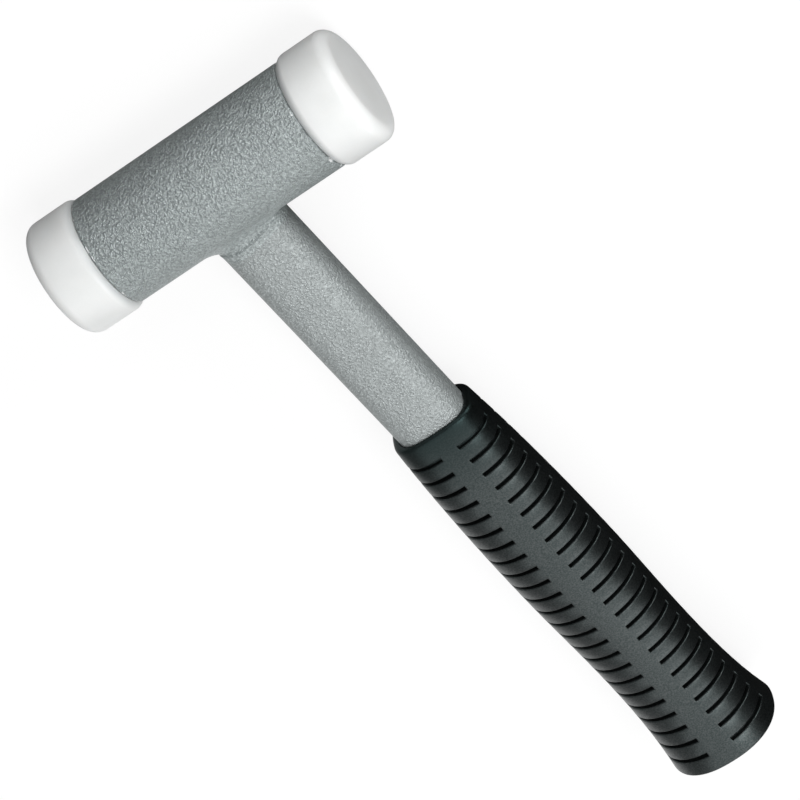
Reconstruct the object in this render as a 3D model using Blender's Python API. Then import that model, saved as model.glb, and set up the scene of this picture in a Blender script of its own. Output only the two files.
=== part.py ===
# Dead blow hammer lying on its side: a steel head tube with push-in nylon faces and loose steel shot,
# a flat-oval handle tube welded to it, and a slotted rubber grip.
# Metres. X runs along the striking axis, +Y from the butt to the head, +Z up from the table.
# The origin is on the table, under the middle of the hammer's box.

import math

import bmesh
import bpy
from mathutils import Vector

# Clearance between pieces that touch
GAP = 0.0003

# Nylon faces: a cap outside the head tube and a spigot inside it
FACE_DIAMETER = 0.035
FACE_LENGTH = 0.0166
FACE_RIM_RADIUS = 0.0036
FACE_BACK_CHAMFER_LENGTH = 0.0019
FACE_BACK_CHAMFER_DEPTH = 0.0009
SPIGOT_LENGTH = 0.010
SPIGOT_CHAMFER = 0.0006

# Head tube: set back from the faces, with a socket at each end and the shot chamber between
TUBE_SETBACK = 0.001
TUBE_LENGTH = 0.068
TUBE_EDGE_CHAMFER = 0.0005
SOCKET_WALL = 0.0022
CHAMBER_WALL = 0.003
DISC_THICKNESS = 0.002

# Steel shot: rows of balls that fill the chamber's lower part and may run to either end
SHOT_DIAMETER = 0.008
SHOT_TRAVEL = 0.005
SHOT_FILL_ANGLE = math.radians(136)

# Handle: a flat-oval tube, seen from the head's underside to the mouth of the grip
HANDLE_WIDTH = 0.0222
HANDLE_DEPTH = 0.0155
HANDLE_ROUNDNESS = 3.1
HANDLE_WALL = 0.002
HANDLE_EXPOSED = 0.0868

# Weld bead between head and handle
WELD_LEG = 0.0029
WELD_ROOM_SHARE = 0.8
WELD_HOLLOW = 0.22

# Rubber grip: wall of rubber over the handle's sides and over its flats, from mouth to butt
GRIP_LENGTH = 0.1535
GRIP_ROUNDNESS = 2.1
MOUTH_SIDE_WALL = 0.0021
MOUTH_FLAT_WALL = 0.001
MOUTH_LAND = 0.0002
MOUTH_ROUND = 0.002
SWELL_SIDE_WALL = 0.0052
SWELL_FLAT_WALL = 0.0042
SWELL_SHARE = 0.65
WAIST_SIDE_WALL = 0.0047
WAIST_FLAT_WALL = 0.0034
FLARE_LENGTH = 0.0455
FLARE_POWER = 2.5
BUTT_SIDE_WALL = 0.0072
BUTT_FLAT_WALL = 0.008
BUTT_ROUND = 0.0007
BUTT_ROUNDNESS = 2.3
BUTT_FLOOR = 0.006

# Slots in the grip: four columns between smooth bands on the flats and on the sides
SLOT_COUNT = 24
SLOT_WIDTH = 0.0015
SLOT_DEPTH = 0.0012
SLOT_MOUTH_MARGIN = 0.00785
SLOT_BUTT_MARGIN = 0.0062
FLAT_BAND_ANGLE = math.radians(17.4)
SIDE_BAND_ANGLE = math.radians(13)

# Facets
TURNED_SEGMENTS = 64
OVAL_SEGMENTS = 40
ARC_STEPS = 5
ROUND_STEPS = 3
SLOT_STEPS = 5
SHOT_SUBDIVISION_COUNT = 2
MERGE_DISTANCE = 0.00001
SHARP_ANGLE = math.radians(35)

# Sizes that follow from the ones above
FACE_RADIUS = FACE_DIAMETER / 2
TUBE_RADIUS = FACE_RADIUS - TUBE_SETBACK
SOCKET_RADIUS = TUBE_RADIUS - SOCKET_WALL
CHAMBER_RADIUS = TUBE_RADIUS - CHAMBER_WALL
PLUG_RADIUS = SOCKET_RADIUS - GAP
CAP_BACK = TUBE_LENGTH / 2 + GAP
DISC_OUTER = CAP_BACK - SPIGOT_LENGTH - GAP
DISC_INNER = DISC_OUTER - DISC_THICKNESS
SHOULDER = DISC_INNER - GAP
HANDLE_HALF_WIDTH = HANDLE_WIDTH / 2
HANDLE_HALF_DEPTH = HANDLE_DEPTH / 2
BORE_HALF_WIDTH = HANDLE_HALF_WIDTH + GAP
BORE_HALF_DEPTH = HANDLE_HALF_DEPTH + GAP
COPE_RADIUS = TUBE_RADIUS + GAP
GRIP_MOUTH = TUBE_RADIUS + HANDLE_EXPOSED
GRIP_BUTT = GRIP_MOUTH + GRIP_LENGTH
BORE_END = GRIP_BUTT - BUTT_FLOOR
HANDLE_END = BORE_END - GAP
WAIST_AT = GRIP_LENGTH - FLARE_LENGTH
SWELL_AT = WAIST_AT * SWELL_SHARE
SLOT_PITCH = (GRIP_LENGTH - SLOT_MOUTH_MARGIN - SLOT_BUTT_MARGIN) / (SLOT_COUNT - 1)
OVERALL_LENGTH = FACE_RADIUS + GRIP_BUTT
HEAD_CENTRE = Vector((0, OVERALL_LENGTH / 2 - FACE_RADIUS, FACE_RADIUS))


# Finishes

def finish(name, colour, roughness, metallic):
    material = bpy.data.materials.new(name)
    material.use_nodes = True
    shader = material.node_tree.nodes["Principled BSDF"]
    shader.inputs["Base Color"].default_value = (*colour, 1)
    shader.inputs["Roughness"].default_value = roughness
    shader.inputs["Metallic"].default_value = metallic
    material.diffuse_color = (*colour, 1)
    return material


# Placing

def empty(name, parent=None, location=(0, 0, 0)):
    frame = bpy.data.objects.new(name, None)
    bpy.context.scene.collection.objects.link(frame)
    frame.parent = parent
    frame.location = location
    return frame


def piece(name, bm, material, parent, location=(0, 0, 0), turn=0.0):
    bmesh.ops.remove_doubles(bm, verts=bm.verts, dist=MERGE_DISTANCE)
    bmesh.ops.recalc_face_normals(bm, faces=bm.faces)
    mesh = bpy.data.meshes.new(name)
    bm.to_mesh(mesh)
    bm.free()
    mesh.shade_smooth()
    mesh.set_sharp_from_angle(angle=SHARP_ANGLE)
    if material:
        mesh.materials.append(material)
    made = bpy.data.objects.new(name, mesh)
    bpy.context.scene.collection.objects.link(made)
    made.parent = parent
    made.location = location
    made.rotation_euler.z = turn
    return made


def cut(target, cutter):
    cutter.hide_render = True
    cutter.display_type = "WIRE"
    boolean = target.modifiers.new(cutter.name, "BOOLEAN")
    boolean.operation = "DIFFERENCE"
    boolean.solver = "EXACT"
    boolean.object = cutter


# Basic shapes

def turned(outline, ring=False):
    # An outline of (x, radius) points turned about X: closed on itself for a ring, else ending on the axis
    bm = bmesh.new()
    points = [bm.verts.new((x, 0, radius)) for x, radius in outline]
    edges = [bm.edges.new(pair) for pair in zip(points, points[1:])]
    if ring:
        edges.append(bm.edges.new((points[-1], points[0])))
    bmesh.ops.spin(
        bm, geom=points + edges, axis=(1, 0, 0), cent=(0, 0, 0), angle=math.tau,
        steps=TURNED_SEGMENTS, use_merge=True)
    return bm


def arc(centre_x, centre_radius, radius, steps):
    # Quarter round of an outline, from straight out to straight ahead
    angles = [math.pi / 2 * (1 - k / steps) for k in range(steps + 1)]
    return [(centre_x + radius * math.cos(a), centre_radius + radius * math.sin(a)) for a in angles]


def oval_point(half_width, half_depth, roundness, angle):
    # Point of a flattened oval at an angle from +Z towards +X
    across = abs(math.sin(angle) / half_width) ** roundness
    through = abs(math.cos(angle) / half_depth) ** roundness
    reach = (across + through) ** (-1 / roundness)
    return reach * math.sin(angle), reach * math.cos(angle)


def oval(half_width, half_depth, roundness, along, angles):
    # Ring of points around the handle's axis, at a distance from the head's centre
    spots = [oval_point(half_width, half_depth, roundness, angle) for angle in angles]
    return [(x, -along, z) for x, z in spots]


def even_angles():
    return [math.tau * k / OVAL_SEGMENTS for k in range(OVAL_SEGMENTS)]


def skin(bm, rings, joined=False):
    # Rows of quads from ring to ring, and back to the first ring where the rings close on themselves
    loops = [[bm.verts.new(point) for point in ring] for ring in rings]
    nexts = loops[1:] + loops[:1] if joined else loops[1:]
    rows = []
    for loop, after in zip(loops, nexts):
        sides = zip(loop, loop[1:] + loop[:1], after[1:] + after[:1], after)
        rows.append([bm.faces.new(side) for side in sides])
    return loops, rows


# Head

def head_tube(frame, enamel):
    half = TUBE_LENGTH / 2
    edge = TUBE_EDGE_CHAMFER
    right = [
        (half - edge, TUBE_RADIUS), (half, TUBE_RADIUS - edge), (half, SOCKET_RADIUS),
        (SHOULDER, SOCKET_RADIUS), (SHOULDER, CHAMBER_RADIUS)]
    left = [(-x, radius) for x, radius in reversed(right)]
    piece("head_tube", turned(right + left, ring=True), enamel, frame)


def striking_face(name, frame, nylon, side):
    back = [
        (-SPIGOT_LENGTH, 0), (-SPIGOT_LENGTH, PLUG_RADIUS - SPIGOT_CHAMFER),
        (SPIGOT_CHAMFER - SPIGOT_LENGTH, PLUG_RADIUS), (0, PLUG_RADIUS),
        (0, FACE_RADIUS - FACE_BACK_CHAMFER_DEPTH), (FACE_BACK_CHAMFER_LENGTH, FACE_RADIUS)]
    rim = arc(FACE_LENGTH - FACE_RIM_RADIUS, FACE_RADIUS - FACE_RIM_RADIUS, FACE_RIM_RADIUS, ARC_STEPS)
    outline = back + rim + [(FACE_LENGTH, 0)]
    turn = 0.0 if side > 0 else math.pi
    piece(name, turned(outline), nylon, frame, location=(side * CAP_BACK, 0, 0), turn=turn)


def chamber_disc(name, frame, steel, side):
    outline = [(0, 0), (0, PLUG_RADIUS), (DISC_THICKNESS, PLUG_RADIUS), (DISC_THICKNESS, 0)]
    turn = 0.0 if side > 0 else math.pi
    piece(name, turned(outline), steel, frame, location=(side * DISC_INNER, 0, 0), turn=turn)


def shot_slice(pitch):
    # Places of the balls in one slice of the chamber: rings that start at its lowest line
    places = []
    ring = CHAMBER_RADIUS - GAP - SHOT_DIAMETER / 2
    while ring >= 0:
        step = 2 * math.asin(pitch / (2 * ring)) if 2 * ring > pitch else math.pi
        each_side = int(SHOT_FILL_ANGLE / step)
        for k in range(-each_side, each_side + 1):
            places.append((ring * math.sin(k * step), -ring * math.cos(k * step)))
        ring -= pitch
    return places


def shot(frame, steel):
    charge = empty("shot_charge", frame)
    pitch = SHOT_DIAMETER + GAP
    slices = int((2 * DISC_INNER - 2 * SHOT_TRAVEL - SHOT_DIAMETER) / pitch) + 1
    number = 0
    for k in range(slices):
        x = (k - (slices - 1) / 2) * pitch
        for y, z in shot_slice(pitch):
            number += 1
            bm = bmesh.new()
            bmesh.ops.create_icosphere(bm, subdivisions=SHOT_SUBDIVISION_COUNT, radius=SHOT_DIAMETER / 2)
            piece(f"shot_{number:02d}", bm, steel, charge, location=(x, y, z))


# Handle and weld

def handle_tube(frame, enamel):
    outer = (HANDLE_HALF_WIDTH, HANDLE_HALF_DEPTH)
    inner = (HANDLE_HALF_WIDTH - HANDLE_WALL, HANDLE_HALF_DEPTH - HANDLE_WALL)
    corners = [(outer, 0), (outer, HANDLE_END), (inner, HANDLE_END), (inner, 0)]
    rings = [oval(*size, HANDLE_ROUNDNESS, along, even_angles()) for size, along in corners]
    bm = bmesh.new()
    skin(bm, rings, joined=True)
    tube = piece("handle_tube", bm, enamel, frame)

    # The end that meets the head is coped to the head's round
    bm = bmesh.new()
    bmesh.ops.create_cone(
        bm, cap_ends=True, segments=TURNED_SEGMENTS, radius1=COPE_RADIUS, radius2=COPE_RADIUS,
        depth=2 * HANDLE_WIDTH)
    axis = Vector((0, 0, 1)).rotation_difference(Vector((1, 0, 0))).to_matrix()
    bmesh.ops.rotate(bm, verts=bm.verts, cent=(0, 0, 0), matrix=axis)
    cut(tube, piece("cope_cutter", bm, None, frame))


def head_underside(z):
    return -math.sqrt(COPE_RADIUS ** 2 - z ** 2)


def weld_section(angle, leg):
    x, z = oval_point(BORE_HALF_WIDTH, BORE_HALF_DEPTH, HANDLE_ROUNDNESS, angle)
    root = Vector((x, head_underside(z), z))
    x, z = oval_point(BORE_HALF_WIDTH + leg, BORE_HALF_DEPTH + leg, HANDLE_ROUNDNESS, angle)
    head_toe = Vector((x, head_underside(z), z))
    handle_toe = root - Vector((0, leg, 0))
    throat = ((head_toe + handle_toe) / 2).lerp(root, WELD_HOLLOW)
    return [root, head_toe, throat, handle_toe]


def weld_fillet(frame, enamel):
    # The leg is limited by the room that the head's round leaves beside the handle
    leg = min(WELD_LEG, (TUBE_RADIUS - BORE_HALF_DEPTH) * WELD_ROOM_SHARE)
    bm = bmesh.new()
    skin(bm, [weld_section(angle, leg) for angle in even_angles()], joined=True)
    piece("weld_fillet", bm, enamel, frame)


# Grip

def grip_blend(along, mouth, swell, waist, butt):
    # Value at a distance from the mouth, from its values at the mouth, swell, waist and butt
    if along < SWELL_AT:
        return swell - (swell - mouth) * (1 - along / SWELL_AT) ** 2
    if along < WAIST_AT:
        share = (along - SWELL_AT) / (WAIST_AT - SWELL_AT)
        return swell + (waist - swell) * share ** 2 * (3 - 2 * share)
    return waist + (butt - waist) * ((along - WAIST_AT) / FLARE_LENGTH) ** FLARE_POWER


def grip_ring(along, angles, fullness=1.0, inset=0.0):
    # Fullness draws the ring in towards the bore at the mouth, and the inset rounds the butt
    side = grip_blend(along, MOUTH_SIDE_WALL, SWELL_SIDE_WALL, WAIST_SIDE_WALL, BUTT_SIDE_WALL)
    flat = grip_blend(along, MOUTH_FLAT_WALL, SWELL_FLAT_WALL, WAIST_FLAT_WALL, BUTT_FLAT_WALL)
    side = MOUTH_LAND + (side - MOUTH_LAND) * fullness - inset
    flat = MOUTH_LAND + (flat - MOUTH_LAND) * fullness - inset
    roundness = grip_blend(along, HANDLE_ROUNDNESS, GRIP_ROUNDNESS, GRIP_ROUNDNESS, BUTT_ROUNDNESS)
    return oval(BORE_HALF_WIDTH + side, BORE_HALF_DEPTH + flat, roundness, GRIP_MOUTH + along, angles)


def column_angles():
    # Each quarter has one point for the smooth band it starts with, then the points of its slots
    angles = []
    for quarter in range(4):
        bands = (FLAT_BAND_ANGLE, SIDE_BAND_ANGLE)
        first, last = bands if quarter % 2 == 0 else bands[::-1]
        start = quarter * math.pi / 2
        arc_length = math.pi / 2 - first - last
        angles.append(start)
        angles += [start + first + arc_length * k / SLOT_STEPS for k in range(SLOT_STEPS + 1)]
    return angles


def sink_slot(bm, faces):
    made = bmesh.ops.extrude_face_region(bm, geom=faces)["geom"]
    for vert in (item for item in made if isinstance(item, bmesh.types.BMVert)):
        reach = math.hypot(vert.co.x, vert.co.z)
        vert.co.x *= 1 - SLOT_DEPTH / reach
        vert.co.z *= 1 - SLOT_DEPTH / reach
    bmesh.ops.delete(bm, geom=faces, context="FACES")


def grip(frame, rubber):
    angles = column_angles()
    turns = [math.pi / 2 * k / ROUND_STEPS for k in range(ROUND_STEPS + 1)]
    rings = [grip_ring(MOUTH_ROUND * (1 - math.cos(t)), angles, fullness=math.sin(t)) for t in turns]
    first_slot = len(rings)
    for k in range(SLOT_COUNT):
        middle = SLOT_MOUTH_MARGIN + SLOT_PITCH * k
        rings += [grip_ring(middle + edge, angles) for edge in (-SLOT_WIDTH / 2, SLOT_WIDTH / 2)]
    for t in turns:
        along = GRIP_LENGTH - BUTT_ROUND * (1 - math.sin(t))
        rings.append(grip_ring(along, angles, inset=BUTT_ROUND * (1 - math.cos(t))))

    bm = bmesh.new()
    loops, rows = skin(bm, rings)
    bm.faces.new(loops[0])
    bm.faces.new(loops[-1])
    quarter_points = SLOT_STEPS + 2
    for k in range(SLOT_COUNT):
        row = rows[first_slot + 2 * k]
        for quarter in range(4):
            start = quarter * quarter_points + 1
            sink_slot(bm, row[start:start + SLOT_STEPS])
    sleeve = piece("grip", bm, rubber, frame)

    # Bore for the handle, open at the mouth
    size = (BORE_HALF_WIDTH, BORE_HALF_DEPTH, HANDLE_ROUNDNESS)
    bm = bmesh.new()
    loops, _ = skin(bm, [oval(*size, along, even_angles()) for along in (GRIP_MOUTH / 2, BORE_END)])
    for loop in loops:
        bm.faces.new(loop)
    cut(sleeve, piece("bore_cutter", bm, None, frame))


def main():
    for old in list(bpy.data.objects):
        bpy.data.objects.remove(old, do_unlink=True)
    enamel = finish("grey_hammered_enamel", (0.29, 0.30, 0.29), 0.42, 0.35)
    nylon = finish("white_nylon", (0.84, 0.84, 0.83), 0.4, 0.0)
    rubber = finish("black_rubber", (0.022, 0.024, 0.024), 0.55, 0.0)
    steel = finish("bright_steel", (0.5, 0.5, 0.51), 0.35, 1.0)

    frame = empty("hammer_frame", location=HEAD_CENTRE)
    head_tube(frame, enamel)
    for name, side in (("left", -1), ("right", 1)):
        striking_face(f"{name}_face", frame, nylon, side)
        chamber_disc(f"{name}_chamber_disc", frame, steel, side)
    shot(frame, steel)
    handle_tube(frame, enamel)
    weld_fillet(frame, enamel)
    grip(frame, rubber)


main()
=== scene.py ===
import math

import bmesh
import bpy
from mathutils import Matrix, Vector


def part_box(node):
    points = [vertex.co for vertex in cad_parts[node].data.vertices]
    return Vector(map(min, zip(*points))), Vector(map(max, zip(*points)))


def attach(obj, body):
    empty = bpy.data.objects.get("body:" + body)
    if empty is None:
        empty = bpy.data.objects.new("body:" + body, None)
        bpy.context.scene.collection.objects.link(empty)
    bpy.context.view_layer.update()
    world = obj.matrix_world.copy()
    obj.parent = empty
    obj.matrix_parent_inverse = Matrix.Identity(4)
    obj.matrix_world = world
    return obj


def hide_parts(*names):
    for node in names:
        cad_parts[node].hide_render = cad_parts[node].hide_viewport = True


# Dead blow hammer lying on its side on a white table, seen from above the head.
# X is the striking axis, the handle runs to -Y, and +Z is up. Settings are in millimetres.
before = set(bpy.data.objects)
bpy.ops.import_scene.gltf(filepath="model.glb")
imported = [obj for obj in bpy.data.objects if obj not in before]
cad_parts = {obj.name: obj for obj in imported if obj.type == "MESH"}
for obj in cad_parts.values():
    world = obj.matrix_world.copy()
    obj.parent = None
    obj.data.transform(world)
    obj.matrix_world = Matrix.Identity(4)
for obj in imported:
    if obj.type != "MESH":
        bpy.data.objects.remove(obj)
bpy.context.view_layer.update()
mm = 0.001
print("frame loaded:", len(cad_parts), "nodes")

# Places that every piece is measured from
tubeLow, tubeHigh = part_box("head_tube")
gripLow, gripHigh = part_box("grip")
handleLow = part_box("handle_tube")[0]
headCentre = (tubeLow + tubeHigh) / 2
tubeRadius = (tubeHigh.z - tubeLow.z) / 2
fitGap = 0.3 * mm
facing = {-1: "left", 1: "right"}


# One socket of a shader: sums and products of it add Math nodes
class Shade:
    def __init__(self, tree, socket=None):
        self.tree = tree
        self.socket = socket

    def node(self, kind, settings=None, sockets=None, out=0):
        made = self.tree.nodes.new(kind)
        for key, value in (settings or {}).items():
            if key == "stops":
                self.setStops(made.color_ramp.elements, value)
            else:
                setattr(made, key, value)
        for key, value in (sockets or {}).items():
            if isinstance(value, Shade):
                self.tree.links.new(value.socket, made.inputs[key])
            else:
                made.inputs[key].default_value = value
        return Shade(self.tree, made.outputs[out])

    def setStops(self, elements, stops):
        while len(elements) < len(stops):
            elements.new(0.5)
        for element, (position, level) in zip(elements, stops):
            element.position = position
            element.color = (level, level, level, 1)

    def calc(self, operation, first, second):
        return self.node("ShaderNodeMath", {"operation": operation}, {0: first, 1: second})

    def __add__(self, other):
        return self.calc("ADD", self, other)

    def __sub__(self, other):
        return self.calc("SUBTRACT", self, other)

    def __rsub__(self, other):
        return self.calc("SUBTRACT", other, self)

    def __mul__(self, other):
        return self.calc("MULTIPLY", self, other)

    __radd__ = __add__
    __rmul__ = __mul__

    # Grey level through a ramp of (position, level) stops
    def ramp(self, *stops):
        return self.node("ShaderNodeValToRGB", {"stops": stops}, {0: self})

    # From 0 to 1 between two values, or from 1 to 0
    def rise(self, start, end):
        return self.ramp((start, 0.0), (end, 1.0))

    def fall(self, start, end):
        return self.ramp((start, 1.0), (end, 0.0))

    def bump(self, height, depth, strength=1.0):
        sockets = {"Height": height, "Distance": depth * mm, "Strength": strength}
        return self.node("ShaderNodeBump", None, sockets)

    def noise(self, scale, detail=2.0, roughness=0.5, out=0):
        sockets = {"Vector": self, "Scale": scale, "Detail": detail, "Roughness": roughness}
        return self.node("ShaderNodeTexNoise", None, sockets, out)

    def cells(self, scale, smoothness):
        sockets = {"Vector": self, "Scale": scale, "Smoothness": smoothness}
        return self.node("ShaderNodeTexVoronoi", {"feature": "SMOOTH_F1"}, sockets)

    # Mix of two colours, each a triple or a socket, by this value
    def blendColour(self, first, second):
        first, second = [item if isinstance(item, Shade) else (*item, 1) for item in (first, second)]
        return self.node("ShaderNodeMix", {"data_type": "RGBA"}, {0: self, 6: first, 7: second}, out=2)


def newFinish(name):
    material = bpy.data.materials.new(name)
    material.use_nodes = True
    tree = material.node_tree
    shader = tree.nodes["Principled BSDF"]
    place = Shade(tree).node("ShaderNodeTexCoord", None, None, out=3)
    # Millimetres from the head's centre
    offset = [-value / mm for value in headCentre]
    scaled = place.node(
        "ShaderNodeMapping", None, {"Vector": place, "Location": offset, "Scale": (1 / mm,) * 3})
    return material, shader, scaled


# Varying values are linked to the shader, and constants are set on its sockets
def feed(shader, links, constants=None):
    tree = shader.id_data
    for key, value in links.items():
        tree.links.new(value.socket, shader.inputs[key])
    for key, value in (constants or {}).items():
        shader.inputs[key].default_value = value


# The three parts of a place: along the head's axis, along the handle and up
def axisParts(place):
    split = place.node("ShaderNodeSeparateXYZ", None, {0: place})
    outputs = split.socket.node.outputs
    return [Shade(place.tree, outputs[k]) for k in range(3)]


def axisRadius(place):
    y, z = axisParts(place)[1:]
    squares = y * y + z * z
    return squares.calc("SQRT", squares, 0.0)


# The dark enamel colour fills the relief's valleys as painted shade, and the light colour is on its beads
headEnamelSettings = {
    "light": (0.48, 0.53, 0.53), "dark": (0.245, 0.273, 0.273), "beads": 1.6, "warp": 1.0, "ripples": 1.2,
    "depth": 0.52, "roughness": 0.42, "metallic": 0.2}
handleEnamelSettings = {
    "light": (0.39, 0.423, 0.423), "dark": (0.258, 0.28, 0.28), "beads": 1.5, "warp": 0.9, "ripples": 1.15,
    "depth": 0.28, "roughness": 0.35, "metallic": 0.2}
weldEnamelSettings = {
    "light": (0.51, 0.56, 0.56), "dark": (0.255, 0.285, 0.285), "beads": 1.6, "warp": 1.0, "ripples": 1.2,
    "depth": 0.35, "roughness": 0.38, "metallic": 0.2}
wrinkleSettings = {
    "driftScale": 0.9, "smoothness": 0.2, "beadEdges": (0.12, 0.6), "rippleEdges": (0.3, 0.7),
    "beadShare": 0.5, "patchScale": 0.12, "patchTone": 0.2, "toneEdges": (0.2, 0.8), "patchRoughness": 0.15,
    "patchMetallic": 0.1}
socketSteelSettings = {
    "bright": (0.42, 0.42, 0.42), "dull": (0.22, 0.21, 0.20), "below": 15.9, "dullEdges": (0.35, 0.6),
    "metallic": 0.9, "smoothed": 0.85}
# Near-white flecks at the tube's ends: painted highlights on its end edges
paintedGlintSettings = {
    "colour": (0.88, 0.90, 0.90), "fromEnd": 0.75, "fade": 0.2, "scale": 0.42, "edges": (0.57, 0.62)}


# Grey stove enamel that wrinkled as it dried: worm-like beads, with painted shade darkening the lines
# between them.
# Inside the head's sockets the steel is bare, and near-white flecks at the head's ends are painted
# highlights.
def hammeredEnamel(name, settings, bareSockets=False):
    shared = wrinkleSettings
    material, shader, place = newFinish(name)
    drift = place.noise(shared["driftScale"], detail=1.0, out=1)
    warped = place.node(
        "ShaderNodeVectorMath", {"operation": "MULTIPLY_ADD"},
        {0: drift, 1: (settings["warp"],) * 3, 2: place})
    beads = warped.cells(settings["beads"], shared["smoothness"]).fall(*shared["beadEdges"])
    ripples = place.noise(settings["ripples"], detail=1.5).rise(*shared["rippleEdges"])
    patches = place.noise(shared["patchScale"])
    relief = beads * shared["beadShare"] + ripples * (1 - shared["beadShare"])
    tone = relief * (1 - shared["patchTone"]) + patches * shared["patchTone"]
    # Painted shade: the colour follows the relief, darker in its valleys and lighter on its beads
    colour = tone.rise(*shared["toneEdges"]).blendColour(settings["dark"], settings["light"])
    roughness = settings["roughness"] + (0.5 - patches) * shared["patchRoughness"]
    metallic = patches * shared["patchMetallic"] + settings["metallic"]
    if bareSockets:
        steel = socketSteelSettings
        bare = place.calc("LESS_THAN", axisRadius(place), steel["below"])
        dull = patches.rise(*steel["dullEdges"]).blendColour(steel["bright"], steel["dull"])
        colour = bare.blendColour(colour, dull)
        metallic = metallic + bare * (steel["metallic"] - metallic)
        relief = relief * (1 - bare * steel["smoothed"])
        # Painted highlights: near-white flecks near the tube's ends, outside the sockets
        x = axisParts(place)[0]
        inwards = tubeHalf() / mm - x.calc("ABSOLUTE", x, 0.0)
        atEnd = (paintedGlintSettings["fromEnd"] - inwards) * (1 / paintedGlintSettings["fade"])
        paintedGlints = place.noise(paintedGlintSettings["scale"], detail=3.0).rise(*paintedGlintSettings["edges"])
        paintedGlints = paintedGlints * atEnd.rise(0.0, 1.0) * (1 - bare)
        colour = paintedGlints.blendColour(colour, paintedGlintSettings["colour"])
    bump = place.bump(relief, settings["depth"])
    feed(shader, {"Base Color": colour, "Roughness": roughness, "Metallic": metallic, "Normal": bump})
    print("finish ready:", name)
    return material


# The colour that greys the nylon beside the seam is painted shade
nylonSettings = {
    "clean": (0.76, 0.77, 0.766), "shaded": (0.715, 0.727, 0.721), "seamShade": (0.53, 0.55, 0.55),
    "seamShadeReach": 2.4, "seamShadeEdges": (0.1, 1.0), "cloudScale": 0.09, "grainScale": 2.2, "grainTone": 0.2,
    "toneEdges": (0.3, 0.65), "roughness": 0.38, "cloudRoughness": 0.2, "grainRoughness": 0.08,
    "ringPitch": 0.35, "ringDepth": 0.004, "ringShare": 0.5, "grainShare": 0.8, "bumpStrength": 0.6,
    "inside": 0.75, "insideTint": (1.0, 0.97, 0.94), "insideReach": 7.0}


# White nylon, turned on a lathe: faint rings, and cloudy patches inside
def turnedNylon():
    settings = nylonSettings
    material, shader, place = newFinish("turned_nylon")
    x = axisParts(place)[0]
    radius = axisRadius(place)
    clouds = place.noise(settings["cloudScale"], detail=3.0)
    grain = place.noise(settings["grainScale"])
    rings = (x + radius) * (math.tau / settings["ringPitch"])
    rings = rings.calc("SINE", rings, 0.0)
    tone = clouds * (1 - settings["grainTone"]) + grain * settings["grainTone"]
    colour = tone.rise(*settings["toneEdges"]).blendColour(settings["shaded"], settings["clean"])
    # Painted shade: the nylon is greyed beside the seam, where the tube shades the cap's back edge
    fromSeam = x.calc("ABSOLUTE", x, 0.0) - (tubeHalf() / mm)
    fromSeam = fromSeam.calc("ABSOLUTE", fromSeam, 0.0) * (1 / settings["seamShadeReach"])
    colour = fromSeam.rise(*settings["seamShadeEdges"]).blendColour(settings["seamShade"], colour)
    roughness = settings["roughness"] + (clouds - 0.5) * settings["cloudRoughness"]
    roughness = roughness + (grain - 0.5) * settings["grainRoughness"]
    height = rings * settings["ringShare"] + grain * settings["grainShare"]
    bump = place.bump(height, settings["ringDepth"], settings["bumpStrength"])
    feed(shader, {"Base Color": colour, "Roughness": roughness, "Normal": bump}, {
        "Subsurface Weight": settings["inside"], "Subsurface Radius": settings["insideTint"],
        "Subsurface Scale": settings["insideReach"] * mm})
    print("finish ready: turned_nylon")
    return material


rubberSettings = {
    "black": (0.0015, 0.0018, 0.0018), "worn": (0.006, 0.007, 0.007), "grain": 2.2, "grainDepth": 0.12,
    "bumpStrength": 0.5, "bloomScale": 0.15, "bloomEdges": (0.35, 0.7), "bloomTone": 0.35,
    "speckEdges": (0.38, 0.68), "speckTone": 0.65, "speckFilm": 0.6, "roughness": 0.34,
    "bloomRoughness": 0.16, "grainRoughness": 0.1, "filmLength": 24.0, "filmRoughness": 0.36,
    "filmIndex": 1.54, "sheen": 0.26, "sheenTint": (0.62, 1.0, 1.0, 1)}


# Satin black rubber with a fine moulded grain. A pale film from use fades out towards the mouth.
def mouldedRubber():
    settings = rubberSettings
    material, shader, place = newFinish("moulded_rubber")
    grain = place.noise(settings["grain"], roughness=0.6)
    bloom = place.noise(settings["bloomScale"], detail=3.0)
    specks = grain.rise(*settings["speckEdges"])
    few, many = settings["bloomEdges"]
    tone = bloom.ramp((few, 0.0), (many, settings["bloomTone"])) + specks * settings["speckTone"]
    colour = tone.blendColour(settings["black"], settings["worn"])
    roughness = settings["roughness"] + (bloom - 0.5) * settings["bloomRoughness"]
    roughness = roughness + (grain - 0.5) * settings["grainRoughness"]
    bump = place.bump(grain, settings["grainDepth"], settings["bumpStrength"])
    y = axisParts(place)[1]
    mouth = (headCentre.y - gripHigh.y) / mm
    used = (y * -1 - mouth) * (1 / settings["filmLength"])
    film = used.rise(0.0, 1.0) * (specks * settings["speckFilm"] + (1 - settings["speckFilm"]))
    feed(shader, {"Base Color": colour, "Roughness": roughness, "Coat Weight": film, "Normal": bump}, {
        "Specular IOR Level": settings["sheen"], "Specular Tint": settings["sheenTint"],
        "Coat Roughness": settings["filmRoughness"], "Coat IOR": settings["filmIndex"]})
    print("finish ready: moulded_rubber")
    return material


steelSettings = {
    "bright": (0.56, 0.56, 0.57), "dull": (0.40, 0.40, 0.41), "scuffScale": 1.6, "stainScale": 0.3,
    "stainTone": 0.4, "toneEdges": (0.35, 0.65), "roughness": 0.3, "scuffRoughness": 0.3, "scuffDepth": 0.01,
    "bumpStrength": 0.5}


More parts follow.
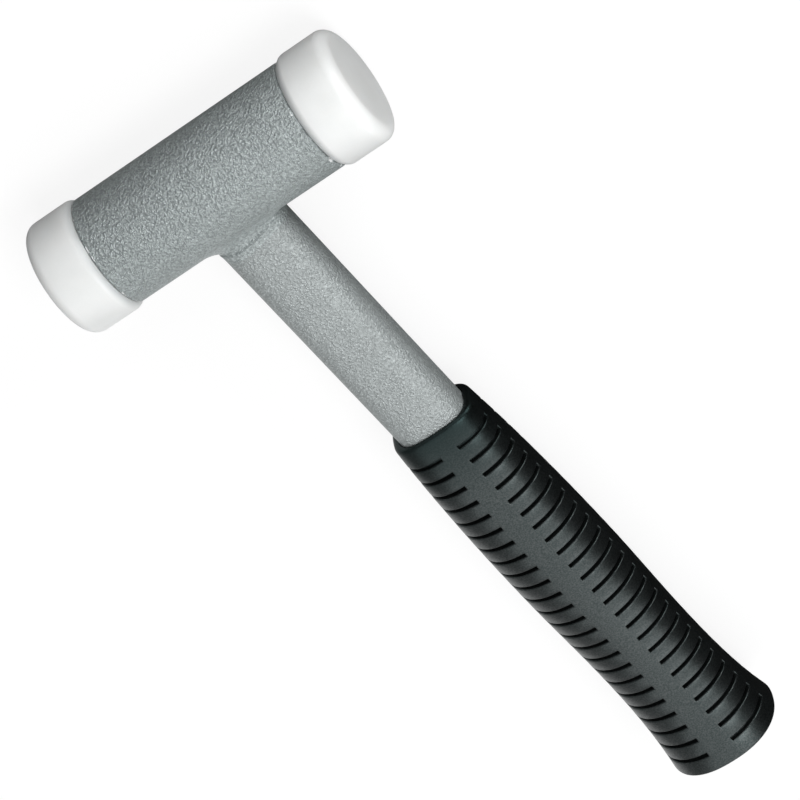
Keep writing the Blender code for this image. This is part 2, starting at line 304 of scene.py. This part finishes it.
# Bright steel of the shot and the discs, lightly scuffed
def scuffedSteel():
    settings = steelSettings
    material, shader, place = newFinish("scuffed_steel")
    scuffs = place.noise(settings["scuffScale"], detail=4.0, roughness=0.65)
    stains = place.noise(settings["stainScale"])
    tone = scuffs * (1 - settings["stainTone"]) + stains * settings["stainTone"]
    colour = tone.rise(*settings["toneEdges"]).blendColour(settings["dull"], settings["bright"])
    roughness = settings["roughness"] + (scuffs - 0.5) * settings["scuffRoughness"]
    bump = place.bump(scuffs, settings["scuffDepth"], settings["bumpStrength"])
    feed(shader, {"Base Color": colour, "Roughness": roughness, "Normal": bump}, {"Metallic": 1.0})
    print("finish ready: scuffed_steel")
    return material


# Modelling helpers: distances within which points count as one, and the least angle of a sharp edge
meshSettings = {"spinMerge": 0.005, "ringMatch": 0.01, "merge": 0.003, "sharpAngle": 40}


# An outline of (x, radius) points spun about the head's axis
def turnOutline(outline, segments, closed=False):
    bm = bmesh.new()
    verts = [bm.verts.new(headCentre + Vector((x, 0, radius))) for x, radius in outline]
    pairs = list(zip(verts, verts[1:]))
    if closed:
        pairs.append((verts[-1], verts[0]))
    edges = [bm.edges.new(pair) for pair in pairs]
    bmesh.ops.spin(
        bm, geom=verts + edges, cent=headCentre, axis=(1, 0, 0), angle=math.tau, steps=segments,
        use_merge=True)
    bmesh.ops.remove_doubles(bm, verts=bm.verts, dist=meshSettings["spinMerge"] * mm)
    return bm


def roundEdges(bm, edges, size, segments):
    bmesh.ops.bevel(
        bm, geom=edges, offset=size * mm, offset_type="OFFSET", segments=segments, profile=0.5,
        affect="EDGES", material=-1, clamp_overlap=True)


# Rounds the edge of a turned piece at one place on its outline
def roundRing(bm, x, radius, size, segments):
    near = meshSettings["ringMatch"] * mm

    def onRing(vert):
        at = vert.co - headCentre
        return abs(at.x - x) < near and abs(math.hypot(at.y, at.z) - radius) < near

    edges = [edge for edge in bm.edges if all(onRing(vert) for vert in edge.verts)]
    roundEdges(bm, edges, size, segments)


# Point of a flattened oval round the handle's axis, at an angle from +Z towards +X
def ovalPoint(angle, halfWidth, halfDepth, roundness, along):
    across = abs(math.sin(angle) / halfWidth) ** roundness
    through = abs(math.cos(angle) / halfDepth) ** roundness
    reach = (across + through) ** (-1 / roundness)
    return headCentre + Vector((reach * math.sin(angle), -along, reach * math.cos(angle)))


def handleAngle(point):
    return math.atan2(point.x - headCentre.x, point.z - headCentre.z)


# First ring of a sleeve: a circle whose points are moved to the shape's place for their angle
def startRing(bm, angles, shape):
    verts = bmesh.ops.create_circle(bm, segments=len(angles), radius=1.0)["verts"]
    for vert, angle in zip(verts, angles):
        vert.co = shape(angle)
    return list({edge for vert in verts for edge in vert.link_edges})


# Next ring of a sleeve, extruded from the last and moved to its own shape
def growRing(bm, edges, shape):
    made = bmesh.ops.extrude_edge_only(bm, edges=edges)["geom"]
    verts = {item for item in made if isinstance(item, bmesh.types.BMVert)}
    for vert in verts:
        vert.co = shape(handleAngle(vert.co))
    return [
        item for item in made if isinstance(item, bmesh.types.BMEdge) and verts.issuperset(item.verts)]


def evenAngles(count):
    return [math.tau * k / count for k in range(count)]


# Turns the mesh into an object that rides on its body in place of its node
def finishPiece(bm, name, material, body, nodes, sharpAngle=meshSettings["sharpAngle"]):
    bmesh.ops.remove_doubles(bm, verts=bm.verts, dist=meshSettings["merge"] * mm)
    bmesh.ops.recalc_face_normals(bm, faces=bm.faces)
    mesh = bpy.data.meshes.new(name)
    bm.to_mesh(mesh)
    bm.free()
    mesh.shade_smooth()
    mesh.set_sharp_from_angle(angle=math.radians(sharpAngle))
    mesh.materials.append(material)
    piece = bpy.data.objects.new(name, mesh)
    bpy.context.scene.collection.objects.link(piece)
    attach(piece, body)
    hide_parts(*nodes)
    print("piece ready:", name, len(mesh.polygons), "faces")


# Head: steel tube with a socket and a shoulder at each end
tubeSettings = {
    "socketWall": 2.2, "chamberWall": 3.0, "shoulder": 21.7, "reach": 0.45, "endRound": 0.7, "endSteps": 4,
    "mouthRound": 0.35, "mouthSteps": 3, "segments": 160}


# Half of the tube's length, which reaches a little under the caps
def tubeHalf():
    return (tubeHigh.x - tubeLow.x) / 2 + tubeSettings["reach"] * mm


def headTube(enamel):
    settings = tubeSettings
    half = tubeHalf()
    socket = tubeRadius - settings["socketWall"] * mm
    chamber = tubeRadius - settings["chamberWall"] * mm
    shoulder = settings["shoulder"] * mm
    right = [(half, tubeRadius), (half, socket), (shoulder, socket), (shoulder, chamber)]
    left = [(-x, radius) for x, radius in reversed(right)]
    bm = turnOutline(right + left, settings["segments"], closed=True)
    for end in (-half, half):
        roundRing(bm, end, tubeRadius, settings["endRound"], settings["endSteps"])
        roundRing(bm, end, socket, settings["mouthRound"], settings["mouthSteps"])
    finishPiece(bm, "headTube", enamel, "hammer", ["head_tube"])


# Nylon faces: cap outside the tube, spigot inside it
faceSettings = {
    "spigotLength": 10.4, "spigotRound": 0.6, "spigotSteps": 3, "seam": 0.12, "backRun": 1.6,
    "backDrop": 1.25, "backRound": 0.8, "backSteps": 4, "rimRadius": 3.6, "rimSteps": 10, "segments": 160}


def strikingFace(side, nylon):
    settings = faceSettings
    node = facing[side] + "_face"
    low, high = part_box(node)
    front = max(abs(low.x), abs(high.x))
    radius = (high.z - low.z) / 2
    back = tubeHalf() + settings["seam"] * mm
    plug = tubeRadius - tubeSettings["socketWall"] * mm - fitGap
    spigotEnd = back - settings["spigotLength"] * mm
    slope = back + settings["backRun"] * mm
    outline = [
        (spigotEnd, 0), (spigotEnd, plug), (back, plug), (back, radius - settings["backDrop"] * mm),
        (slope, radius), (front, radius), (front, 0)]
    bm = turnOutline([(side * x, r) for x, r in outline], settings["segments"])
    roundRing(bm, side * front, radius, settings["rimRadius"], settings["rimSteps"])
    roundRing(bm, side * slope, radius, settings["backRound"], settings["backSteps"])
    roundRing(bm, side * spigotEnd, plug, settings["spigotRound"], settings["spigotSteps"])
    finishPiece(bm, facing[side] + "Face", nylon, node, [node])


# Steel discs that shut the shot chamber
discSettings = {"edgeRound": 0.3, "edgeSteps": 3, "dimpleRadius": 1.2, "dimpleDepth": 0.5, "segments": 96}


def chamberDisc(side, steel):
    settings = discSettings
    node = facing[side] + "_chamber_disc"
    low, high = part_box(node)
    inner, outer = sorted((abs(low.x), abs(high.x)))
    radius = (high.z - low.z) / 2
    outline = [
        (inner, 0), (inner, radius), (outer, radius), (outer, settings["dimpleRadius"] * mm),
        (outer - settings["dimpleDepth"] * mm, 0)]
    bm = turnOutline([(side * x, r) for x, r in outline], settings["segments"])
    for x in (inner, outer):
        roundRing(bm, side * x, radius, settings["edgeRound"], settings["edgeSteps"])
    finishPiece(bm, facing[side] + "ChamberDisc", steel, "hammer", [node])


# Loose steel shot, one ball for each node of the frame
shotSettings = {"subdivisions": 4}


def looseShot(steel):
    for node in sorted(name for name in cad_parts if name.startswith("shot_")):
        low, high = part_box(node)
        bm = bmesh.new()
        bmesh.ops.create_icosphere(
            bm, subdivisions=shotSettings["subdivisions"], radius=(high.z - low.z) / 2,
            matrix=Matrix.Translation((low + high) / 2))
        finishPiece(bm, node.replace("shot_", "shotBall"), steel, "shot", [node])


# Handle: flat-oval tube, coped to the head
handleSettings = {"width": 22.2, "depth": 15.5, "roundness": 3.1, "wall": 2.0, "segments": 128}


# How far the head's skin is from its axis, towards the handle, at a height
def headUnderside(z):
    reach = tubeRadius + fitGap
    return math.sqrt(reach ** 2 - (z - headCentre.z) ** 2)


# Point of an oval where it meets the head, or further along the handle by the drop
def copedOval(angle, halfWidth, halfDepth, roundness, drop=0.0):
    point = ovalPoint(angle, halfWidth, halfDepth, roundness, 0)
    return point - Vector((0, headUnderside(point.z) + drop, 0))


def handleTube(enamel):
    settings = handleSettings
    wall = settings["wall"] * mm
    outer = (settings["width"] / 2 * mm, settings["depth"] / 2 * mm, settings["roundness"])
    inner = (outer[0] - wall, outer[1] - wall, settings["roundness"])
    end = headCentre.y - handleLow.y
    bm = bmesh.new()
    first = startRing(bm, evenAngles(settings["segments"]), lambda angle: copedOval(angle, *outer))
    edges = growRing(bm, first, lambda angle: ovalPoint(angle, *outer, end))
    edges = growRing(bm, edges, lambda angle: ovalPoint(angle, *inner, end))
    last = growRing(bm, edges, lambda angle: copedOval(angle, *inner))
    bmesh.ops.bridge_loops(bm, edges=first + last)
    finishPiece(bm, "handleTube", enamel, "hammer", ["handle_tube"])


# Weld bead between head and handle: runs out of the head's skin and ends in a toe on the handle
weldSettings = {
    "headLeg": 4.6, "flatLeg": 3.7, "sideLeg": 1.2, "lean": 0.18, "hollow": 0.8, "sink": 0.12, "steps": 24,
    "flatCrest": 0.5, "sideCrest": 0.1, "toeRise": 0.8, "toeRun": 2.4, "toeSteps": 16, "toeEnd": 0.02,
    "ripple": 0.07, "rippleCount": 23, "flatPower": 4, "segments": 192, "sharpAngle": 12}


def weldBead(enamel):
    settings = weldSettings
    leg = settings["headLeg"] * mm
    width = handleSettings["width"] / 2 * mm
    depth = handleSettings["depth"] / 2 * mm
    roundness = handleSettings["roundness"]

    # Place on the bead, from its toe in the head to the start of its toe on the handle
    def onBead(angle, share):
        root = copedOval(angle, width, depth, roundness)
        headToe = copedOval(angle, width + leg, depth + leg, roundness, -fitGap - settings["sink"] * mm)
        valley = onToe(angle, 0.0)
        pull = headToe.lerp(valley, 0.5).lerp(root, settings["hollow"])
        ripple = math.sin(math.pi * share) ** 2 * math.sin(settings["rippleCount"] * angle)
        spot = headToe.lerp(pull, share).lerp(pull.lerp(valley, share), share)
        return spot - Vector((0, settings["ripple"] * mm * ripple, 0))

    # Place on the toe, up to its crest and down to the handle's skin: the crest leans over the flats
    def onToe(angle, share):
        root = copedOval(angle, width, depth, roundness)
        flat = 1 - math.sin(angle) ** settings["flatPower"]
        reach = settings["flatLeg"] - settings["lean"] * (root.x - headCentre.x) / mm
        reach = settings["sideLeg"] + (reach - settings["sideLeg"]) * flat
        crest = settings["sideCrest"] + (settings["flatCrest"] - settings["sideCrest"]) * flat
        past = (settings["toeRise"] + settings["toeRun"]) * share - settings["toeRise"]
        level = 1 + past / settings["toeRise"] if past < 0 else (1 - past / settings["toeRun"]) ** 2
        height = (settings["toeEnd"] + (crest - settings["toeEnd"]) * level) * mm
        along = headCentre.y - root.y + (reach + past) * mm
        return ovalPoint(angle, width + height, depth + height, roundness, along)

    bm = bmesh.new()
    first = startRing(
        bm, evenAngles(settings["segments"]),
        lambda angle: copedOval(angle, width, depth, roundness, -fitGap))
    edges = first
    for k in range(settings["steps"] + 1):
        edges = growRing(bm, edges, lambda angle: onBead(angle, k / settings["steps"]))
    for k in range(1, settings["toeSteps"] + 1):
        edges = growRing(bm, edges, lambda angle: onToe(angle, k / settings["toeSteps"]))
    bmesh.ops.bridge_loops(bm, edges=first + edges)
    finishPiece(bm, "weldBead", enamel, "hammer", ["weld_fillet"], settings["sharpAngle"])


# Rubber grip: walls over the handle's sides and flats at the mouth, swell, waist and butt
gripSettings = {
    "sideWalls": (2.1, 5.2, 4.7, 7.2), "flatWalls": (1.0, 4.2, 3.4, 8.0), "roundness": (3.1, 2.1, 2.1, 2.3),
    "swellAt": 70.2, "flareLength": 45.5, "flarePower": 2.5,
    "mouthLand": 0.2, "mouthRound": 1.8, "mouthPower": 0.7, "mouthSteps": 10,
    "buttRound": 0.7, "buttSteps": 5,
    "slotCount": 24, "slotWidth": 1.3, "slotDepth": 1.9, "slotFloor": 0.5, "slotDraft": 0.06,
    "slotLip": 0.34, "lipSteps": 3, "slotSkew": 0.5, "slotFirst": 7.7, "slotLast": 6.35, "flatBand": 17.4,
    "sideBand": 13.0, "flatSteps": 5, "slotSteps": 16, "sideSteps": 4, "boreFloor": 6.0}


# A value at a distance from the mouth, from those at the mouth, swell, waist and butt
def gripBlend(along, values):
    mouth, swell, waist, butt = values
    swellAt = gripSettings["swellAt"] * mm
    waistAt = gripHigh.y - gripLow.y - gripSettings["flareLength"] * mm
    if along < swellAt:
        return swell - (swell - mouth) * (1 - along / swellAt) ** 2
    if along < waistAt:
        share = (along - swellAt) / (waistAt - swellAt)
        return swell + (waist - swell) * share ** 2 * (3 - 2 * share)
    share = (along - waistAt) / (gripSettings["flareLength"] * mm)
    return waist + (butt - waist) * share ** gripSettings["flarePower"]


def gripPoint(angle, along, fullness=1.0, inset=0.0):
    settings = gripSettings
    land = settings["mouthLand"]
    side = land + (gripBlend(along, settings["sideWalls"]) - land) * fullness
    flat = land + (gripBlend(along, settings["flatWalls"]) - land) * fullness
    halfWidth = handleSettings["width"] / 2 * mm + fitGap + side * mm - inset
    halfDepth = handleSettings["depth"] / 2 * mm + fitGap + flat * mm - inset
    fromHead = headCentre.y - gripHigh.y + along
    return ovalPoint(angle, halfWidth, halfDepth, gripBlend(along, settings["roundness"]), fromHead)


# Rows of slots lean a little across the grip
def skewedPoint(angle, along):
    return gripPoint(angle, along - gripSettings["slotSkew"] * mm * math.sin(angle))


# Angles round the grip, with points on the ends of the slots
def gripAngles():
    settings = gripSettings
    flat = math.radians(settings["flatBand"])
    side = math.radians(90 - settings["sideBand"])
    quarter = [flat * k / settings["flatSteps"] for k in range(settings["flatSteps"])]
    quarter += [flat + (side - flat) * k / settings["slotSteps"] for k in range(settings["slotSteps"])]
    rest = math.pi / 2 - side
    quarter += [side + rest * k / settings["sideSteps"] for k in range(settings["sideSteps"])]
    half = quarter + [math.pi - angle for angle in [math.pi / 2] + quarter[:0:-1]]
    return half + [angle + math.pi for angle in half]


def inSlotColumn(face):
    middle = face.calc_center_median()
    lean = abs(handleAngle(middle))
    lean = math.degrees(min(lean, math.pi - lean))
    return gripSettings["flatBand"] < lean < 90 - gripSettings["sideBand"]


# Each slot is as deep as the rubber over the handle allows
def sinkSlots(bm, rows):
    settings = gripSettings
    rims = []
    for middle, row in rows:
        depth = min(settings["slotDepth"], gripBlend(middle, settings["flatWalls"]) - settings["slotFloor"])
        faces = [face for face in row if inSlotColumn(face)]
        chosen = set(faces)
        rims += [
            edge for face in faces for edge in face.edges
            if sum(other in chosen for other in edge.link_faces) == 1]
        bmesh.ops.inset_region(
            bm, faces=faces, thickness=settings["slotDraft"] * mm, depth=-depth * mm,
            use_even_offset=True, use_boundary=True)
    roundEdges(bm, rims, settings["slotLip"], settings["lipSteps"])


def slottedGrip(rubber):
    settings = gripSettings
    length = gripHigh.y - gripLow.y
    turns = [math.pi / 2 * k / settings["mouthSteps"] for k in range(settings["mouthSteps"] + 1)]
    bm = bmesh.new()
    bore = (
        handleSettings["width"] / 2 * mm + fitGap, handleSettings["depth"] / 2 * mm + fitGap,
        handleSettings["roundness"])
    floor = headCentre.y - gripLow.y - settings["boreFloor"] * mm
    mouth = headCentre.y - gripHigh.y
    power = settings["mouthPower"]

    # Up the bore from its floor, over the rounded mouth and down the outside
    first = startRing(bm, gripAngles(), lambda angle: ovalPoint(angle, *bore, floor))
    edges = growRing(bm, first, lambda angle: ovalPoint(angle, *bore, mouth))
    for turn in turns:
        along = settings["mouthRound"] * mm * (1 - max(math.cos(turn), 0) ** power)
        edges = growRing(bm, edges, lambda angle: gripPoint(angle, along, fullness=math.sin(turn) ** power))
    pitch = (length - (settings["slotFirst"] + settings["slotLast"]) * mm) / (settings["slotCount"] - 1)
    rows = []
    for k in range(settings["slotCount"]):
        middle = settings["slotFirst"] * mm + pitch * k
        upper = middle - settings["slotWidth"] / 2 * mm
        lower = middle + settings["slotWidth"] / 2 * mm
        edges = growRing(bm, edges, lambda angle: skewedPoint(angle, upper))
        edges = growRing(bm, edges, lambda angle: skewedPoint(angle, lower))
        rows.append((middle, {face for edge in edges for face in edge.link_faces}))
        edges = growRing(bm, edges, lambda angle: skewedPoint(angle, middle + pitch / 2))
    for k in range(settings["buttSteps"] + 1):
        turn = math.pi / 2 * k / settings["buttSteps"]
        along = length - settings["buttRound"] * mm * (1 - math.sin(turn))
        inset = settings["buttRound"] * mm * (1 - math.cos(turn))
        edges = growRing(bm, edges, lambda angle: gripPoint(angle, along, inset=inset))
    for ring in (first, edges):
        bmesh.ops.holes_fill(bm, edges=ring)
    bmesh.ops.recalc_face_normals(bm, faces=bm.faces)
    sinkSlots(bm, rows)
    finishPiece(bm, "slottedGrip", rubber, "hammer", ["grip"])


# Camera of the photograph: long lens, high over the head, rolled nearly upside down
cameraSettings = {
    "azimuth": 152.92, "elevation": 53.09, "roll": 169.22, "distance": 1181.2, "lens": 188.8,
    "sensor": 36, "aimAside": -3.04, "aimBack": 92.85}


def placeCamera():
    settings = cameraSettings
    turn = math.radians(settings["azimuth"])
    lift = math.radians(settings["elevation"])
    back = Vector((math.sin(turn) * math.cos(lift), -math.cos(turn) * math.cos(lift), math.sin(lift)))
    aim = headCentre + Vector((settings["aimAside"], -settings["aimBack"], 0)) * mm
    lens = bpy.data.cameras.new("photoCamera")
    lens.lens = settings["lens"]
    lens.sensor_width = settings["sensor"]
    camera = bpy.data.objects.new("photoCamera", lens)
    bpy.context.scene.collection.objects.link(camera)
    camera.location = aim + back * settings["distance"] * mm
    roll = Matrix.Rotation(math.radians(settings["roll"]), 3, "Z")
    camera.rotation_euler = (back.to_track_quat("Z", "Y").to_matrix() @ roll).to_euler()
    bpy.context.scene.camera = camera
    print("camera placed")


# Table, soft boxes and room, in metres
tableSettings = {
    "size": 6.0, "whiteShare": 0.85, "mirrorShare": 0.55, "seenPale": 0.95, "cardPale": 0.42, "pale": 0.01,
    "cardSide": (-0.02, 0.008), "cardTop": (0.08, 0.15), "mattShare": 0.9}
softBoxAim = (0, -0.07, 0)
softBoxes = {
    "topBox": {"towards": (-0.06, -0.50, 0.86), "distance": 1.15, "size": (1.35, 1.2), "power": 6.6},
    "keyBox": {"towards": (0.34, -0.06, 0.94), "distance": 1.2, "size": (0.6, 0.5), "power": 5.9},
    "backBox": {"towards": (0.10, -0.88, 0.46), "distance": 1.2, "size": (0.8, 0.6), "power": 2.4},
    "frontBox": {"towards": (0.10, 0.88, 0.46), "distance": 1.2, "size": (0.8, 0.8), "power": 3.7},
    "edgeBox": {"towards": (0.82, 0.52, 0.24), "distance": 0.7, "size": (0.5, 0.4), "power": 3.0}}
roomSettings = {"brightSide": (-0.85, 0.25, 0.42), "dark": 0.012, "bright": 0.36, "fade": (0.15, 0.85)}


def whiteTable():
    settings = tableSettings
    bm = bmesh.new()
    bmesh.ops.create_grid(bm, x_segments=1, y_segments=1, size=settings["size"] / 2)
    mesh = bpy.data.meshes.new("whiteTable")
    bm.to_mesh(mesh)
    bm.free()
    table = bpy.data.objects.new("whiteTable", mesh)
    bpy.context.scene.collection.objects.link(table)
    material = bpy.data.materials.new("white_table")
    material.use_nodes = True
    tree = material.node_tree
    start = Shade(tree)
    path = start.node("ShaderNodeLightPath")
    outputs = path.socket.node.outputs
    camera = Shade(tree, outputs["Is Camera Ray"])
    seen = camera * settings["whiteShare"]
    # What the hammer sees of the table: a white card in the angle of head and handle,
    # and dark cards elsewhere
    place = start.node("ShaderNodeTexCoord", None, None, out=3)
    across, back = [
        ((axis - full) * (1 / (none - full))).fall(0.0, 1.0)
        for axis, (full, none) in zip(axisParts(place), (settings["cardSide"], settings["cardTop"]))]
    card = across * back
    for ray in ("Is Glossy Ray", "Is Transmission Ray"):
        seen = seen + Shade(tree, outputs[ray]) * card * settings["mirrorShare"]
    # Matt surfaces get some of the card's light from the handle's right as well
    matt = Shade(tree, outputs["Is Diffuse Ray"]) * settings["mattShare"]
    lit = (across + (1 - across) * matt) * back
    bounce = lit.blendColour((settings["pale"],) * 3, (settings["cardPale"],) * 3)
    bounce = camera.blendColour(bounce, (settings["seenPale"],) * 3)
    plain = start.node("ShaderNodeBsdfDiffuse", None, {"Color": bounce})
    white = start.node("ShaderNodeEmission", None, {"Color": (1, 1, 1, 1), "Strength": 1.0})
    mixed = start.node("ShaderNodeMixShader", None, {0: seen, 1: plain, 2: white})
    tree.links.new(mixed.socket, tree.nodes["Material Output"].inputs["Surface"])
    mesh.materials.append(material)
    print("table placed")


def softLight():
    for name, box in softBoxes.items():
        lamp = bpy.data.lights.new(name, "AREA")
        lamp.shape = "RECTANGLE"
        lamp.size, lamp.size_y = box["size"]
        lamp.energy = box["power"]
        light = bpy.data.objects.new(name, lamp)
        bpy.context.scene.collection.objects.link(light)
        towards = Vector(box["towards"]).normalized()
        light.location = headCentre + Vector(softBoxAim) + towards * box["distance"]
        light.rotation_euler = towards.to_track_quat("Z", "Y").to_euler()
    world = bpy.data.worlds.new("paleRoom")
    world.use_nodes = True
    bpy.context.scene.world = world
    tree = world.node_tree
    way = Shade(tree).node("ShaderNodeTexCoord")
    side = Vector(roomSettings["brightSide"]).normalized()
    turned = way.node("ShaderNodeVectorMath", {"operation": "DOT_PRODUCT"}, {0: way, 1: side}, out=1)
    near, far = roomSettings["fade"]
    level = (turned * 0.5 + 0.5).ramp((near, roomSettings["dark"]), (far, roomSettings["bright"]))
    tree.links.new(level.socket, tree.nodes["Background"].inputs["Color"])
    bpy.context.scene.view_settings.view_transform = "Standard"
    print("lights placed")


placeCamera()
whiteTable()
softLight()
nylon = turnedNylon()
steel = scuffedSteel()
headTube(hammeredEnamel("head_enamel", headEnamelSettings, bareSockets=True))
for side in (-1, 1):
    strikingFace(side, nylon)
    chamberDisc(side, steel)
looseShot(steel)
handleTube(hammeredEnamel("handle_enamel", handleEnamelSettings))
weldBead(hammeredEnamel("weld_enamel", weldEnamelSettings))
slottedGrip(mouldedRubber())
